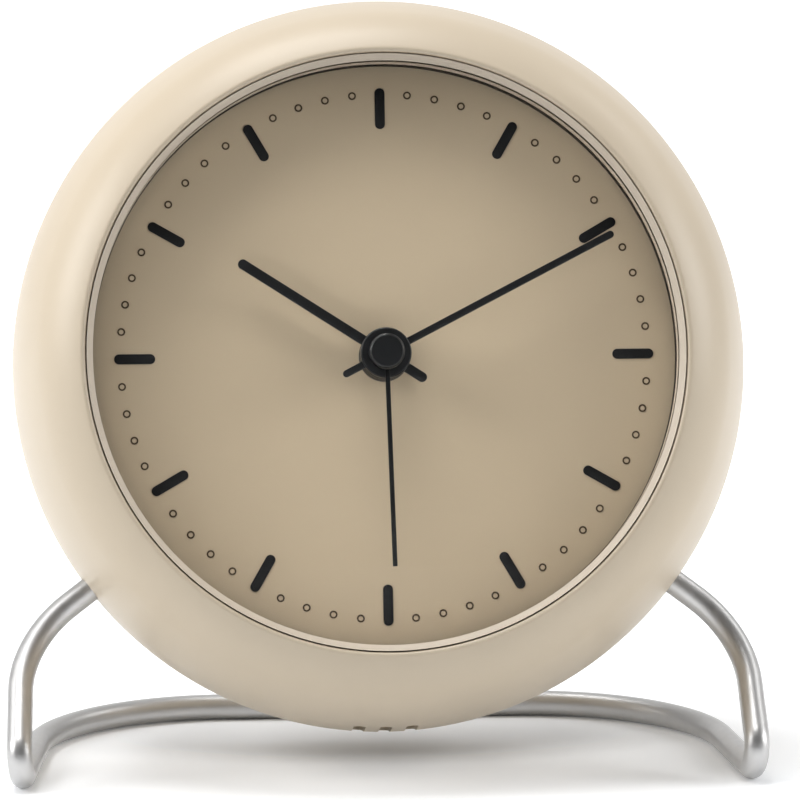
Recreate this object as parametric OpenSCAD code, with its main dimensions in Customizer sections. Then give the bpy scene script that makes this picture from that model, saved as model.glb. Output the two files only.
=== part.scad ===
// Round alarm table clock that hangs in a bent wire stand, dial tilted back.
// Built about the dial axis: x right, y up the dial, z out towards the viewer.
// Local z = 0 is the plane of the case's largest diameter. placed() stands it up.

/* [Case] */
// Radius of the case at its widest
case_r = 55; // [50:0.5:62]
// Radius of the flank's arc
flank_r = 42; // [38:1:48]
// Radius of the shoulder arcs, front and back
shoulder_r = 13; // [11:0.5:16]
// Angle at which the flank passes into the shoulder
flank_turn = 22.2; // [19:0.2:26]
// Angle at which the shoulder passes into the lip
shoulder_turn = 63.4; // [58:0.2:68]
// Thickness of the moulded walls
wall = 2.2; // [1.8:0.1:2.6]
// Radius of the rounded lip round the dial
lip_r = 0.6; // [0.4:0.1:1]
// How far back the shell meets the back cover
parting_depth = 10; // [8:0.5:12]
// Length of the cover's lap inside the shell
lap_length = 2.6; // [1.5:0.1:4]
// Thickness of the cover's flat back and of the battery door in it
cover_floor = 2; // [1.8:0.1:2.4]
// Depth of the flat back below the rim
back_recess = 0.6; // [0.3:0.1:1]
// How far the case leans back
tilt = 16.5; // [12:0.5:20]

/* [Dial and crystal] */
// Distance from the lip's edge back to the dial
dial_depth = 7.4; // [6.5:0.1:8.5]
// Thickness of the dial
dial_t = 0.6; // [0.4:0.1:0.8]
// Thickness of the crystal and its skirt
crystal_t = 1.4; // [1:0.1:1.6]
// Height of the dome's outer edge above the dial
skirt_h = 6.6; // [6:0.1:7.4]
// Rise of the dome from edge to middle
dome_rise = 5.8; // [5.4:0.1:7]
// Width of the crystal's foot under the lip
foot_w = 0.6; // [0.4:0.1:0.8]
// Height of the crystal's foot
foot_h = 0.8; // [0.6:0.1:1.2]
// How far the circle of minute rings lies inside the opening
minute_inset = 5.45; // [4.5:0.05:7]
// Outer radius of a minute ring
minute_ring_r = 0.6; // [0.45:0.05:0.8]
// Width of a minute ring's line
minute_line = 0.25; // [0.15:0.05:0.35]
// How far the middles of the hour batons lie inside the opening
baton_inset = 7.6; // [6.5:0.1:10]
// Length of an hour baton
baton_l = 6.15; // [5:0.05:7]
// Width of an hour baton
baton_w = 1.5; // [1.2:0.05:2]
// Thickness of the printed and applied marks
mark_t = 0.12; // [0.08:0.02:0.2]

/* [Hands] */
// Thickness of the hands
hand_t = 0.5; // [0.4:0.05:0.6]
// Length of the hour hand
hour_l = 25.8; // [20:0.2:30]
// Width of the hour hand
hour_w = 1.5; // [1.2:0.1:2]
// Tail of the hour hand
hour_tail = 7.2; // [5:0.2:9]
// Where the hour hand points, clockwise from twelve
hour_angle = 303; // [0:0.5:360]
// How far short of the circle of minute rings the minute hand ends
minute_short = 0.85; // [0.4:0.05:6]
// Width of the minute hand
minute_w = 1.1; // [0.9:0.05:1.6]
// Tail of the minute hand
minute_tail = 7.2; // [5:0.2:9]
// Where the minute hand points
minute_angle = 62.8; // [0:0.1:360]
// Length of the second hand
second_l = 32; // [26:0.2:38]
// Width of the second hand
second_w = 0.7; // [0.5:0.05:0.9]
// Where the second hand points
second_angle = 178.7; // [0:0.1:360]
// Length of the alarm hand
alarm_l = 22; // [18:0.5:24]
// Width of the alarm hand
alarm_w = 0.9; // [0.7:0.1:1.2]
// Where the alarm hand points
alarm_angle = 303; // [0:0.5:360]
// Radius of the hands' round hubs
hub_r = 3.8; // [3.2:0.1:4.2]
// Radius of the cap on the second hand
cap_r = 2.65; // [2.3:0.05:3]
// Bevel round the cap's top
cap_bevel = 0.35; // [0.2:0.05:0.5]

/* [Stand] */
// Diameter of the stand's wire
wire_d = 3.8; // [3.4:0.1:4.2]
// Angle below level at which the wire leaves the case
entry_angle = 37; // [33:1:41]
// Distance from the case's centre to the first bend's corner
first_corner_r = 68; // [66:0.5:71]
// Centre line radius of the first bend
first_bend_r = 17; // [12:1:19]
// Half the width of the stand at its feet
foot_half = 55.4; // [53:0.2:58]
// How far the feet's corner stands in front of the case's centre
foot_front = 31.4; // [29:0.2:33]
// Centre line radius of the sharp bend at the feet
foot_bend_r = 3; // [2.6:0.1:3.4]
// Half the width of the stand at its rear corners
rear_half = 48.5; // [46:0.5:51]
// How far the rear bar stands behind the case's centre
rear_back = 22.3; // [20:0.5:26]
// Centre line radius of the rear corners
rear_bend_r = 30; // [26:1:31]
// Height of the case's centre above the wire resting on the table
centre_rise = 57; // [56:0.5:60]
// Length of wire inside the case
socket_depth = 9.5; // [8:0.5:11]
// Wall of the socket round the wire
socket_wall = 2; // [1.6:0.1:2.4]

/* [Sound slots] */
// Number of slots under the case
slot_count = 3; // [1:2:5]
// Width of a slot
slot_w = 1.85; // [1.4:0.05:2.2]
// Spacing of the slots
slot_pitch = 3.97; // [3.6:0.01:5]
// Length of a slot along the case's depth
slot_l = 12; // [8:0.5:13]
// Radius of the sounder
sounder_r = 7.5; // [6:0.5:8]
// Depth of the sounder
sounder_t = 6; // [4:0.5:7]

/* [Movement] */
// Side of the square movement
movement_side = 52; // [51:0.5:52]
// Depth of the movement
movement_depth = 15.5; // [15.3:0.1:16]
// Thickness of the movement's walls
plate_t = 1.2; // [1:0.1:1.3]
// Thickness of a gear
gear_t = 0.8; // [0.6:0.05:0.9]
// Distance from the centre to the third and intermediate wheels
train_distance = 10.8; // [10.6:0.1:11.4]
// Distance from the intermediate wheel to the rotor
rotor_distance = 7.2; // [7:0.1:7.6]
// Distance of the motion wheel from the centre and from its setting stem
motion_distance = 8.4; // [8.1:0.1:8.6]
// Distance from the centre to the alarm stem
alarm_distance = 11.4; // [11.3:0.1:11.8]
// Radius of the thin arbors
arbor_r = 0.4; // [0.35:0.05:0.45]
// Radius of the seconds arbor
second_arbor_r = 0.45; // [0.4:0.05:0.5]
// Wall of the nested centre tubes
tube_wall = 0.45; // [0.4:0.01:0.5]
// Wall of the fixed nozzle round the tubes
nozzle_wall = 0.75; // [0.6:0.05:0.85]
// Radius of the setting stems
stem_r = 0.9; // [0.8:0.05:1]
// Radius of the setting knobs
knob_r = 5.6; // [5:0.1:6]
// Height of the setting knobs
knob_h = 3.6; // [3:0.1:4.2]
// Turned teeth round a knob
knob_flutes = 24; // [16:1:30]

/* [Battery] */
// Radius of the battery
battery_r = 7.1; // [7:0.05:7.25]
// Length of the battery's body
battery_l = 49.2; // [48:0.1:49.5]
// Radius of the battery's raised pole
pole_r = 2.7; // [2.4:0.1:3]
// Height of the battery's raised pole
pole_h = 1.2; // [1:0.1:1.4]
// How far the battery lies below the centre
battery_drop = 17; // [16.5:0.1:17.5]
// Room at each end of the battery for its contact
contact_room = 2; // [1.8:0.1:2.2]

/* [Fits] */
// Radial clearance of a shaft that turns in a hole
running = 0.05; // [0.02:0.01:0.08]
// Clearance between fixed pieces that fit together
fit = 0.05; // [0.02:0.01:0.08]
// Clearance round loose pieces, such as the door and the switch
loose = 0.3; // [0.2:0.05:0.4]

/* [Hidden] */
$fn = 64;
overrun = 1;
full_turn = 360;
half_turn = 180;
quarter_turn = 90;
hours = 12;
minutes = 60;

// Case profile: arcs that run into each other, worked out from the flank's centre
flank_c = case_r - flank_r;
shoulder_c = [flank_c + (flank_r - shoulder_r) * cos(flank_turn), (flank_r - shoulder_r) * sin(flank_turn)];
lip_c = shoulder_c + (shoulder_r - lip_r) * [cos(shoulder_turn), sin(shoulder_turn)];
opening_r = lip_c[0] - lip_r;
well_wall = 1.5;
seam_inset = 0.1;
seam_w = 0.8;
fill_inset = 0.25;
far = 3 * case_r;

// Planes along the dial axis
dial_z = lip_c[1] - dial_depth;
land_z = dial_z - dial_t;
land_t = 1.6;
plate_z = land_z - land_t;
frame_t = 1.6;
movement_z = plate_z - frame_t;
cover_z = -lip_c[1] - lip_r + back_recess;
cover_in_z = cover_z + cover_floor;
movement_back_z = movement_z - movement_depth;

// Crystal, and the marks on the dial inside it
crystal_fit = 0.15;
crystal_r = opening_r - crystal_fit;
minute_circle_r = opening_r - minute_inset;
baton_mid_r = opening_r - baton_inset;
minute_l = minute_circle_r - minute_short;
dome_edge_z = dial_z + skirt_h;
dome_r = (crystal_r * crystal_r + dome_rise * dome_rise) / (2 * dome_rise);
dome_c = dome_edge_z + dome_rise - dome_r;

// Planes of the hands above the dial, lowest first
alarm_lift = 2;
hour_lift = 3.4;
minute_lift = 5;
second_lift = 6.8;
alarm_z = dial_z + alarm_lift;
hour_z = dial_z + hour_lift;
minute_z = dial_z + minute_lift;
second_z = dial_z + second_lift;
hub_t = 0.9;
minute_hub_t = 1.1;
cap_h = 1.5;
nut_h = 1.5;

// Nested centre tubes, each one running clearance outside the last
cannon_in = second_arbor_r + running;
cannon_out = cannon_in + tube_wall;
hour_in = cannon_out + running;
hour_out = hour_in + tube_wall;
alarm_in = hour_out + running;
alarm_out = alarm_in + tube_wall;
nozzle_in = alarm_out + running;
nozzle_out = nozzle_in + nozzle_wall;

// Gear layers, front to back
layer_gap = 0.4;
pinion_extra = 0.2;
third_drop = 2;
second_drop = 2.4;
rotor_drop = 3.2;
pivot_depth = 0.8;
plate_in_z = movement_z - plate_t;
alarm_layer = plate_in_z - layer_gap - gear_t;
hour_layer = alarm_layer - layer_gap - gear_t;
motion_layer = hour_layer - layer_gap - pinion_extra - gear_t;
cannon_low = motion_layer - layer_gap;
minute_layer = cannon_low - pinion_extra - gear_t;
third_layer = minute_layer - third_drop;
second_layer = third_layer - second_drop;
rotor_layer = second_layer - rotor_drop;
floor_z = movement_back_z + plate_t;

// Tooth counts
rotor_teeth = 8;
intermediate_teeth = 40;
intermediate_pinion = 10;
second_teeth = 60;
second_pinion = 8;
third_teeth = 60;
third_pinion = 8;
minute_teeth = 64;
cannon_teeth = 12;
motion_teeth = 36;
motion_pinion = 10;
hour_teeth = 40;
time_pinion = 12;
alarm_teeth = 36;
alarm_pinion = 24;

// Tooth form: half widths as shares of the pitch, heights as shares of the module
root_half_share = 0.27;
tip_half_share = 0.12;
addendum_share = 0.8;
dedendum_share = 1.1;
rim_share = 3;
spoke_share = 0.5;
hub_share = 5;

// Directions between the gear axes, counter-clockwise from x
third_dir = 210;
intermediate_dir = 300;
rotor_dir = 340;
motion_dir = 110;
time_dir = 180;
alarm_dir = 35;
third_at = polar(train_distance, third_dir);
intermediate_at = polar(train_distance, intermediate_dir);
rotor_at = intermediate_at + polar(rotor_distance, rotor_dir);
motion_at = polar(motion_distance, motion_dir);
time_at = motion_at + polar(motion_distance, time_dir);
alarm_at = polar(alarm_distance, alarm_dir);

// Tooth phases, each follower set by its driver
intermediate_phase = meshed(rotor_teeth, 0, rotor_dir + half_turn, intermediate_teeth);
second_phase = meshed(intermediate_pinion, 0, intermediate_dir + half_turn, second_teeth);
third_phase = meshed(second_pinion, 0, third_dir, third_teeth);
minute_phase = meshed(third_pinion, 0, third_dir + half_turn, minute_teeth);
motion_phase = meshed(cannon_teeth, 0, motion_dir, motion_teeth);
hour_phase = meshed(motion_pinion, 0, motion_dir + half_turn, hour_teeth);
time_phase = meshed(motion_teeth, motion_phase, time_dir, time_pinion);
alarm_phase = meshed(alarm_teeth, 0, alarm_dir, alarm_pinion);

// Modules that follow from the distances and the tooth counts
rotor_mod = 2 * rotor_distance / (rotor_teeth + intermediate_teeth);
intermediate_mod = 2 * train_distance / (intermediate_pinion + second_teeth);
third_mod = 2 * train_distance / (second_pinion + third_teeth);
minute_mod = 2 * train_distance / (third_pinion + minute_teeth);
cannon_mod = 2 * motion_distance / (cannon_teeth + motion_teeth);
hour_mod = 2 * motion_distance / (motion_pinion + hour_teeth);
time_mod = 2 * motion_distance / (motion_teeth + time_pinion);
alarm_mod = 2 * alarm_distance / (alarm_teeth + alarm_pinion);

// Motor
motor_lift = 1.9;
magnet_r = 2;
magnet_t = 1.4;
stator_t = 0.8;
stator_gap = 0.5;
stator_w = 2;
motor_z = rotor_layer + gear_t + motor_lift;
coil_l = 18;
coil_r = 2.3;
coil_flange_r = 2.8;
coil_flange_t = 0.8;
core_w = 1.6;
coil_clear = 1;
coil_y = -movement_side / 2 + plate_t + coil_flange_r + coil_clear;

// Circuit board
board_w = 34;
board_h = 9;
board_t = 0.8;
board_y = 18.6;
board_z = 2;
board_post_r = 1.5;
board_post_x = 14;
quartz_r = 1;
quartz_l = 6;

// Frame, posts and screws
frame_gap = 1.5;
frame_r = shell_in_r(plate_z) - frame_gap;
post_r = 3;
post_top = [29.5, 20];
post_low = [17, -31.5];
post_places = [for (side = [-1, 1]) for (p = [post_top, post_low]) [side * p[0], p[1]]];
screw_r = 1;
screw_head_r = 2.3;
screw_head_t = 1.3;
screw_l = 9;
frame_boss_r = 2.2;
frame_boss_l = 3.4;
frame_boss_inset = 1.1;
frame_boss_at_r = frame_r - frame_boss_inset;
frame_screw_r = 0.9;
frame_head_r = 1.7;
frame_head_t = 1;
frame_screw_places = [for (a = [45 : quarter_turn : full_turn]) polar(frame_boss_at_r, a)];
sounder_gap = 2.8;
sounder_y = sounder_r + sounder_gap - frame_r;
sound_hole_r = 1.25;

// Battery tray, contacts and door
tray_wall = 1.2;
battery_gap = 0.5;
door_over = 0.4;
door_under = 0.2;
tray_in = battery_l / 2 + contact_room;
tray_half_w = battery_r + tray_wall + loose;
battery_z = cover_in_z + battery_r + battery_gap;
contact_t = 0.4;
contact_half = 5;
spring_r = 3;
door_half_l = tray_in + door_over;
door_half_w = tray_half_w - door_under;
corner_r = 2;
door_grip_l = 10;
door_grip_w = 1.2;
door_grip_t = 0.6;
door_grip_pitch = 2.4;

// Alarm switch
switch_y = 31;
switch_travel = 4;
switch_stem = [4, 2.6];
switch_pad = [6, 4.4];
switch_pad_t = 1.6;
switch_flange = [13, 7];
switch_flange_t = 1;
switch_gap = 0.2;
switch_rib = 0.5;
switch_rib_pitch = 1.5;

// Turned teeth of the knobs and slots of the screws
flute_r = 0.47;
flute_out = 0.35;
flute_stop = 0.7;
screw_slot_w = 0.46;

// Stand: corners of the wire's centre line, right side, then mirrored
wire_r = wire_d / 2;
joint_gap = 0.1;
joint_inset = 0.03;
centre_height = centre_rise + wire_r;
wire_inside = to_world(polar3(case_r - socket_depth, -entry_angle));
first_corner = to_world(polar3(first_corner_r, -entry_angle));
foot_corner = [foot_half, -foot_front, wire_r];
rear_corner = [rear_half, rear_back, wire_r];

// Radius of the flank's inside at a distance from the widest plane
function shell_in_r(z) = flank_c + sqrt(pow(flank_r - wall, 2) - z * z);
function polar(r, a) = [r * cos(a), r * sin(a)];
function polar3(r, a) = [r * cos(a), r * sin(a), 0];
function meshed(teeth, phase, dir, next) = dir + half_turn - (half_turn - teeth * (dir - phase)) / next;
function to_world(p) = [
    p[0],
    p[1] * sin(tilt) - p[2] * cos(tilt),
    centre_height + p[1] * cos(tilt) + p[2] * sin(tilt)
];
function mirror_x(p) = [-p[0], p[1], p[2]];
function unit(v) = v / norm(v);
function bend_angle(a, b, c) = acos(unit(b - a) * unit(c - b));
function bend_reach(a, b, c, r) = r * tan(bend_angle(a, b, c) / 2);

module placed() {
    translate([0, 0, centre_height]) rotate([quarter_turn - tilt, 0, 0]) children();
}

module disc(r, low, high) {
    translate([0, 0, low]) cylinder(r = r, h = high - low);
}

module ring(r_out, r_in, low, high) {
    translate([0, 0, low]) linear_extrude(high - low) difference() {
        circle(r_out);
        circle(r_in);
    }
}

// Wedge of the half plane about a centre, between two angles
module wedge(c, from, to) {
    mid = (from + to) / 2;
    polygon([c, c + polar(far, from), c + polar(far, mid), c + polar(far, to)]);
}

// Wall along an arc, its outside at radius r
module arc_wall(c, r, t, from, to) {
    intersection() {
        translate(c) difference() {
            circle(r);
            circle(r - t);
        }
        wedge(c, from, to);
    }
}

// Filled sector of a disc
module sector(c, r, from, to) {
    intersection() {
        translate(c) circle(r);
        wedge(c, from, to);
    }
}

// Bridge inside the wall where two arcs meet, so that they are one piece
module seam(c, r, t, a) {
    translate(c) rotate(a) translate([r - t / 2, 0]) square([t - 2 * seam_inset, seam_w], center = true);
}

// Half of the case's wall from an angle on the flank to the lip
module case_half_profile(from) {
    arc_wall([flank_c, 0], flank_r, wall, from, flank_turn);
    seam([flank_c, 0], flank_r, wall, flank_turn);
    arc_wall(shoulder_c, shoulder_r, wall, flank_turn, shoulder_turn);
    translate(lip_c) circle(lip_r);
}

// Everything inside the case's outer surface, for trimming bosses
module case_fill() {
    rotate_extrude($fn = 96) for (m = [0, 1]) mirror([0, m]) {
        sector([flank_c, 0], flank_r - fill_inset, 0, flank_turn);
        sector(shoulder_c, shoulder_r - fill_inset, flank_turn, shoulder_turn);
        polygon([[0, 0], [flank_c, 0], shoulder_c, lip_c, [0, lip_c[1]]]);
    }
}

module stadium(l, w) {
    square([l - w, w], center = true);
    for (side = [-1, 1]) translate([side * (l - w) / 2, 0]) circle(w / 2);
}

module rounded(half_l, half_w, r) {
    square([2 * half_l, 2 * (half_w - r)], center = true);
    square([2 * (half_l - r), 2 * half_w], center = true);
    for (x = [-1, 1]) for (y = [-1, 1])
        translate([x * (half_l - r), y * (half_w - r)]) circle(r);
}

module at_socket(side) {
    a = side > 0 ? -entry_angle : half_turn + entry_angle;
    rotate([0, 0, a]) translate([case_r - socket_depth - fit, 0, 0]) rotate([0, quarter_turn, 0]) children();
}

module case_shell() color("BurlyWood") placed() difference() {
    union() {
        rotate_extrude($fn = 96) difference() {
            union() {
                case_half_profile(-flank_turn);
                translate([opening_r, plate_z]) square([well_wall, lip_c[1] - plate_z]);
            }
            translate([0, -far]) square([far, far - parting_depth]);
            translate([0, plate_z]) square([opening_r, far]);
            translate([0, plate_z - overrun])
                square([opening_r + foot_w, dial_z + foot_h + crystal_fit + overrun - plate_z]);
        }
        intersection() {
            case_fill();
            union() {
                for (side = [-1, 1]) at_socket(side)
                    translate([0, 0, -socket_wall])
                        cylinder(r = wire_r + socket_wall, h = socket_depth + socket_wall);
                for (p = frame_screw_places) translate([p[0], p[1], plate_z])
                    cylinder(r = frame_boss_r, h = frame_boss_l);
            }
        }
    }
    for (side = [-1, 1]) at_socket(side) cylinder(r = wire_r + fit, h = 2 * socket_depth);
    for (p = frame_screw_places) translate([p[0], p[1], plate_z - overrun])
        cylinder(r = frame_screw_r + fit, h = frame_boss_l - frame_head_t / 2 + overrun);
    sound_slots();
}

module sound_slots() {
    step = slot_pitch / case_r * half_turn / PI;
    for (i = [0 : slot_count - 1]) rotate([0, 0, (i - (slot_count - 1) / 2) * step])
        translate([0, -case_r + 3 * wall, -wall / 2]) rotate([quarter_turn, 0, 0])
            linear_extrude(4 * wall) rotate(quarter_turn) stadium(slot_l, slot_w);
}

module back_cover() color("BurlyWood") placed() difference() {
    union() {
        rotate_extrude($fn = 96) {
            intersection() {
                mirror([0, 1]) case_half_profile(0);
                translate([0, -far]) square([far, far - parting_depth]);
            }
            translate([0, cover_z]) square([lip_c[0], cover_floor]);
            translate([lap_r() - wall / 2, -parting_depth - lap_length]) square([wall / 2, 2 * lap_length]);
            translate([lap_r() - wall / 2, -parting_depth - lap_length]) square([wall, lap_length]);
        }
    }
    for (p = post_places) translate([p[0], p[1], cover_z - overrun]) {
        cylinder(r = screw_r + loose / 2, h = cover_floor + 2 * overrun);
        cylinder(r = screw_head_r + loose / 2, h = screw_head_t + overrun);
    }
    for (p = [time_at, alarm_at]) translate([p[0], p[1], cover_z - overrun])
        cylinder(r = stem_r + loose / 2, h = cover_floor + 2 * overrun);
    translate([0, -battery_drop, cover_z - overrun]) linear_extrude(cover_floor + 2 * overrun)
        rounded(door_half_l + loose / 2, door_half_w + loose / 2, corner_r + loose / 2);
    translate([0, switch_y, cover_z - overrun]) linear_extrude(cover_floor + 2 * overrun)
        square([switch_stem[0] + switch_travel + 2 * loose, switch_stem[1] + loose], center = true);
}

// Radius of the cover's lap, just inside the shell's wall at the parting
function lap_r() = shell_in_r(parting_depth) - 2 * fit;

module crystal() color("LightCyan", 0.3) placed() rotate_extrude($fn = 96) {
    intersection() {
        difference() {
            translate([0, dome_c]) circle(dome_r, $fn = 96);
            translate([0, dome_c]) circle(dome_r - crystal_t, $fn = 96);
        }
        translate([0, dial_z]) square([crystal_r, far]);
    }
    translate([crystal_r - crystal_t, dial_z]) square([crystal_t, skirt_h - crystal_t / 2]);
    translate([crystal_r - crystal_t, dial_z]) square([crystal_t + foot_w, foot_h]);
}

module dial() color("Tan") placed()
    ring(opening_r + foot_w - crystal_fit, nozzle_out + 2 * fit, land_z, dial_z);

module hour_batons() color("Black") placed()
    for (h = [1 : hours]) rotate(-h * full_turn / hours) translate([0, baton_mid_r, dial_z])
        linear_extrude(mark_t) rotate(quarter_turn) stadium(baton_l, baton_w);

module minute_rings() color("DimGray") placed()
    for (m = [1 : minutes]) if (m % (minutes / hours) != 0) rotate(-m * full_turn / minutes)
        translate([0, minute_circle_r, 0])
            ring(minute_ring_r, minute_ring_r - minute_line, dial_z, dial_z + mark_t / 2);

module inner_frame() color("WhiteSmoke") placed() difference() {
    union() {
        disc(frame_r, movement_z, plate_z);
        disc(opening_r + foot_w - crystal_fit, plate_z - overrun, land_z);
        for (p = post_places) translate([p[0], p[1], cover_in_z])
            cylinder(r = post_r, h = movement_z + frame_t / 2 - cover_in_z);
    }
    disc(nozzle_out + 2 * fit, movement_z - overrun, dial_z);
    for (p = post_places) translate([p[0], p[1], cover_in_z - overrun])
        cylinder(r = screw_r + fit, h = screw_l + overrun);
    for (p = frame_screw_places) translate([p[0], p[1], movement_z - overrun])
        cylinder(r = frame_screw_r + loose / 2, h = frame_t + 2 * overrun);
}

// Bar hand with round ends on a round hub that fits its tube
module hand(l, w, tail, angle, low, bore, hub_low, hub_high) {
    placed() rotate(-angle) difference() {
        union() {
            translate([0, (l - tail) / 2, low]) linear_extrude(hand_t)
                rotate(quarter_turn) stadium(l + tail, w);
            disc(hub_r, hub_low, hub_high);
        }
        disc(bore, low - far, low + far);
    }
}

module alarm_hand() color("Black")
    hand(alarm_l, alarm_w, 0, alarm_angle, alarm_z, alarm_out + fit / 2, alarm_z, alarm_z + hub_t);

module hour_hand() color("Black")
    hand(hour_l, hour_w, hour_tail, hour_angle, hour_z, hour_out + fit / 2, hour_z, hour_z + hub_t);

module minute_hand() color("Black")
    hand(minute_l, minute_w, minute_tail, minute_angle, minute_z, cannon_out + fit / 2,
        minute_z, minute_z + minute_hub_t);

module second_hand() color("Black") placed() rotate(-second_angle) difference() {
    union() {
        translate([-second_w / 2, 0, second_z]) cube([second_w, second_l, hand_t]);
        disc(cap_r - cap_bevel, second_z, second_z + hand_t);
    }
    disc(second_arbor_r + fit / 2, second_z - overrun, second_z + overrun);
}

module hub_cap() color("Black") placed() difference() {
    cap_low = second_z + hand_t;
    rotate_extrude() polygon([
        [0, cap_low], [cap_r, cap_low], [cap_r, cap_low + cap_h - cap_bevel],
        [cap_r - cap_bevel, cap_low + cap_h], [0, cap_low + cap_h]
    ]);
    disc(second_arbor_r + fit / 2, cap_low - overrun, cap_low + cap_h / 2);
}

module dial_nut() color("Black") placed()
    ring(hub_r, nozzle_out + fit, dial_z, dial_z + nut_h);

// Turns the z axis to the direction v
module along(v) {
    rotate([0, acos(v[2] / norm(v)), atan2(v[1], v[0])]) children();
}

// Length of wire between two points, short of both by the joint's gap
module rod(a, b) {
    translate(a) along(b - a) translate([0, 0, joint_gap])
        cylinder(r = wire_r, h = norm(b - a) - 2 * joint_gap);
}

// Bend of the wire at a corner, short of the straight lengths by the joint's gap
module bend(a, b, c, r) {
    u = unit(b - a);
    v = unit(c - b);
    n = unit(cross(u, v));
    w = cross(n, u);
    m = b - u * bend_reach(a, b, c, r) + w * r;
    short = joint_gap / r * half_turn / PI;
    multmatrix([
        [-w[0], u[0], n[0], m[0]],
        [-w[1], u[1], n[1], m[1]],
        [-w[2], u[2], n[2], m[2]],
        [0, 0, 0, 1]
    ]) rotate(short) rotate_extrude(angle = bend_angle(a, b, c) - 2 * short, $fn = 96)
        translate([r, 0]) circle(wire_r, $fn = 32);
}

// Wire from the right socket round the rear bar to the left socket. Where a
// straight length meets a bend, a ball a hair inside the wire joins them.
module stand_wire() color("Silver") {
    right = [wire_inside, first_corner, foot_corner, rear_corner];
    path = concat(right, [for (i = [3 : -1 : 0]) mirror_x(right[i])]);
    radii = [0, first_bend_r, foot_bend_r, rear_bend_r, rear_bend_r, foot_bend_r, first_bend_r, 0];
    last = len(path) - 1;
    reach = [for (i = [0 : last])
        i == 0 || i == last ? 0 : bend_reach(path[i - 1], path[i], path[i + 1], radii[i])];
    for (i = [0 : last - 1]) {
        d = unit(path[i + 1] - path[i]);
        from = path[i] + d * reach[i];
        to = path[i + 1] - d * reach[i + 1];
        rod(from, to);
        for (end = [from, to]) if (end != path[0] && end != path[last])
            translate(end) along(d) sphere(wire_r - joint_inset, $fn = 48);
    }
    for (i = [1 : last - 1]) bend(path[i - 1], path[i], path[i + 1], radii[i]);
}

// Spur gear with plain flanks
module gear(teeth, mod, low, high, phase, bore) {
    pitch_r = teeth * mod / 2;
    pitch = full_turn / teeth;
    root_r = pitch_r - dedendum_share * mod;
    tip_r = pitch_r + addendum_share * mod;
    translate([0, 0, low]) linear_extrude(high - low) difference() {
        polygon([for (i = [0 : teeth - 1]) for (k = [0 : 3])
            let (share = [-root_half_share, -tip_half_share, tip_half_share, root_half_share][k],
                 r = k == 1 || k == 2 ? tip_r : root_r)
            polar(r, phase + (i + share) * pitch)]);
        if (bore > 0) circle(bore);
    }
}

module spoked(teeth, mod, low, high, phase, bore) {
    rim_r = (teeth / 2 - rim_share) * mod;
    hub = max(bore + rim_share * mod, hub_share * mod);
    difference() {
        gear(teeth, mod, low, high, phase, bore);
        for (a = [quarter_turn : quarter_turn : full_turn]) rotate(a)
            translate([(rim_r + hub) / 2, 0, low - overrun])
                cylinder(r = (rim_r - hub) / 2 - spoke_share * mod, h = high - low + 2 * overrun);
    }
}

module alarm_wheel() color("Ivory") placed() {
    gear(alarm_teeth, alarm_mod, alarm_layer, alarm_layer + gear_t, 0, alarm_in);
    ring(alarm_out, alarm_in, alarm_layer, alarm_z + hub_t);
}

module hour_wheel() color("Ivory") placed() {
    gear(hour_teeth, hour_mod, hour_layer, hour_layer + gear_t, hour_phase, hour_in);
    ring(hour_out, hour_in, hour_layer, hour_z + hub_t);
}

module motion_wheel() color("Ivory") placed() translate(motion_at) {
    spoked(motion_teeth, cannon_mod, motion_layer, motion_layer + gear_t, motion_phase, arbor_r + running);
    gear(motion_pinion, hour_mod, motion_layer, hour_layer + gear_t, 0, arbor_r + running);
}

module cannon_pinion() color("Goldenrod") placed() {
    gear(cannon_teeth, cannon_mod, cannon_low, motion_layer + gear_t, 0, cannon_in);
    ring(cannon_out, cannon_in, minute_layer - layer_gap, minute_z + minute_hub_t);
}

module minute_wheel() color("Ivory") placed()
    gear(minute_teeth, minute_mod, minute_layer, minute_layer + gear_t, minute_phase, cannon_out + running);

// Arbor from the movement's floor to its front plate
module arbor(r) {
    disc(r, floor_z - pivot_depth, plate_in_z + pivot_depth);
}

module third_wheel() color("Ivory") placed() translate(third_at) {
    spoked(third_teeth, third_mod, third_layer, third_layer + gear_t, third_phase, 0);
    gear(third_pinion, minute_mod, third_layer, minute_layer + gear_t + pinion_extra, 0, 0);
    arbor(arbor_r);
}

module second_wheel() color("Ivory") placed() {
    spoked(second_teeth, intermediate_mod, second_layer, second_layer + gear_t, second_phase, 0);
    gear(second_pinion, third_mod, second_layer, third_layer + gear_t + pinion_extra, 0, 0);
    disc(second_arbor_r, floor_z - pivot_depth, second_z + hand_t + cap_h / 2 - fit);
}

module intermediate_wheel() color("Ivory") placed() translate(intermediate_at) {
    gear(intermediate_teeth, rotor_mod, rotor_layer, rotor_layer + gear_t, intermediate_phase, 0);
    gear(intermediate_pinion, intermediate_mod, rotor_layer, second_layer + gear_t + pinion_extra, 0, 0);
    arbor(arbor_r);
}

module rotor() color("DimGray") placed() translate(rotor_at) {
    gear(rotor_teeth, rotor_mod, rotor_layer, rotor_layer + gear_t + pinion_extra, 0, 0);
    disc(magnet_r, motor_z - magnet_t / 2, motor_z + magnet_t / 2);
    arbor(arbor_r);
}

// Where a stator leg turns down past the coil's flange, from the coil's centre
function leg_knee() = [coil_l / 2 + coil_flange_t + fit + core_w / 2, coil_flange_r + fit + stator_w / 2];

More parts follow.
